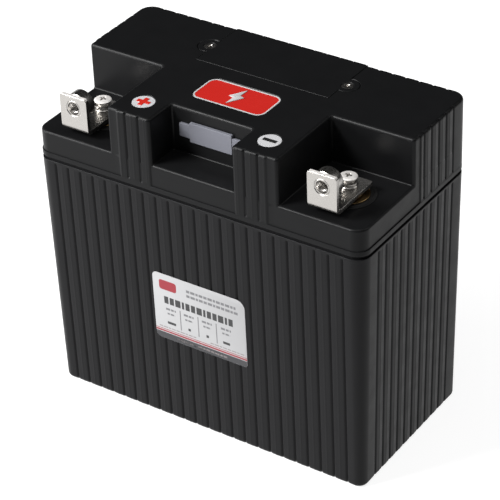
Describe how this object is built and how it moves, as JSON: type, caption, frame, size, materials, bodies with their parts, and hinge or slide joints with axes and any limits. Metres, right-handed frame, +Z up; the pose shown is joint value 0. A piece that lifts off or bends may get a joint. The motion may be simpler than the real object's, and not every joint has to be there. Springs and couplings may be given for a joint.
{
  "type": "motorcycle battery",
  "caption": "Black ribbed lithium motorcycle starter battery with corner terminal pockets, nickel L-brackets, charging port cap and screwed access cover.",
  "frame": {"origin": "centre of the base, on the surface the battery stands on", "axes": "+X to the right towards the negative terminal, -Y to the front where the label and the bracket plates face, +Z up"},
  "size_m": [0.165, 0.086, 0.155],
  "materials": {
    "case_plastic": "satin",
    "cover_plastic": "satin",
    "sealant": "matte",
    "gasket_rubber": "matte",
    "screw_nickel": "satin",
    "bracket_nickel": "satin",
    "brass": "satin",
    "cap_plastic": "satin",
    "socket_plastic": "satin",
    "pin_metal": "satin",
    "wire_jacket": "satin",
    "red_jacket": "satin",
    "cell_pouch": "satin",
    "foam": "matte",
    "carrier_board": "matte",
    "copper": "satin",
    "lug_tin": "satin",
    "badge_white": "gloss",
    "mark_red": "gloss",
    "mark_black": "gloss",
    "label_film": "satin",
    "emblem_red": "gloss",
    "emblem_silver": "gloss"
  },
  "bodies": {
    "battery": {"lower_case": "case_plastic", "top_cover": "cover_plastic", "seam_seal": "sealant", "access_gasket": "gasket_rubber", "positive_post_seal": "gasket_rubber", "negative_post_seal": "gasket_rubber", "access_inserts": "brass", "positive_post": "brass", "negative_post": "brass", "positive_post_nut": "brass", "negative_post_nut": "brass", "port_socket": "socket_plastic", "port_pins": "pin_metal", "sense_leads": "wire_jacket", "negative_lead": "wire_jacket", "positive_lead": "red_jacket", "cell_1": "cell_pouch", "cell_2": "cell_pouch", "cell_3": "cell_pouch", "cell_4": "cell_pouch", "cell_5": "cell_pouch", "cell_6": "cell_pouch", "cell_7": "cell_pouch", "cell_8": "cell_pouch", "cell_spacers": "foam", "end_foam_left": "foam", "end_foam_right": "foam", "bottom_pad": "foam", "side_pads": "foam", "tab_carrier": "carrier_board", "positive_busbar": "copper", "negative_busbar": "copper", "series_link_1": "copper", "series_link_2": "copper", "series_link_3": "copper", "positive_lug": "lug_tin", "negative_lug": "lug_tin", "plus_badge": "badge_white", "minus_badge": "badge_white", "plus_mark": "mark_red", "minus_mark": "mark_black", "label": "label_film", "emblem_plate": "emblem_red", "emblem_bolt": "emblem_silver"},
    "port_cap_body": {"port_cap": "cap_plastic"},
    "access_cover_body": {"access_cover": "cover_plastic"},
    "access_screw_left_body": {"access_screw_left": "screw_nickel"},
    "access_screw_right_body": {"access_screw_right": "screw_nickel"},
    "positive_bracket_body": {"positive_bracket": "bracket_nickel", "positive_bracket_nut": "bracket_nickel"},
    "negative_bracket_body": {"negative_bracket": "bracket_nickel", "negative_bracket_nut": "bracket_nickel"},
    "positive_screw_body": {"positive_clamp_screw": "screw_nickel", "positive_spring_washer": "screw_nickel", "positive_flat_washer": "screw_nickel"},
    "negative_screw_body": {"negative_clamp_screw": "screw_nickel", "negative_spring_washer": "screw_nickel", "negative_flat_washer": "screw_nickel"}
  },
  "joints": [
    {"name": "port_cap_pull", "type": "slide", "parent": "battery", "child": "port_cap_body", "axis": [0, -1, 0], "range_m": [0, 0.024]},
    {"name": "access_cover_lift", "type": "slide", "parent": "battery", "child": "access_cover_body", "axis": [0, 0, 1], "range_m": [0, 0.025]},
    {"name": "access_screw_left_lift", "type": "slide", "parent": "access_cover_body", "child": "access_screw_left_body", "axis": [0, 0, 1], "range_m": [0, 0.012]},
    {"name": "access_screw_right_lift", "type": "slide", "parent": "access_cover_body", "child": "access_screw_right_body", "axis": [0, 0, 1], "range_m": [0, 0.012]},
    {"name": "positive_bracket_swivel", "type": "hinge", "parent": "battery", "child": "positive_bracket_body", "pos_m": [-0.062, -0.02, 0.1365], "axis": [0, 0, -1], "range_deg": [0, 90]},
    {"name": "negative_bracket_swivel", "type": "hinge", "parent": "battery", "child": "negative_bracket_body", "pos_m": [0.062, -0.02, 0.1365], "axis": [0, 0, 1], "range_deg": [0, 90]},
    {"name": "positive_screw_lift", "type": "slide", "parent": "positive_bracket_body", "child": "positive_screw_body", "axis": [0, 0, 1], "range_m": [0, 0.01]},
    {"name": "negative_screw_lift", "type": "slide", "parent": "negative_bracket_body", "child": "negative_screw_body", "axis": [0, 0, 1], "range_m": [0, 0.01]}
  ]
}
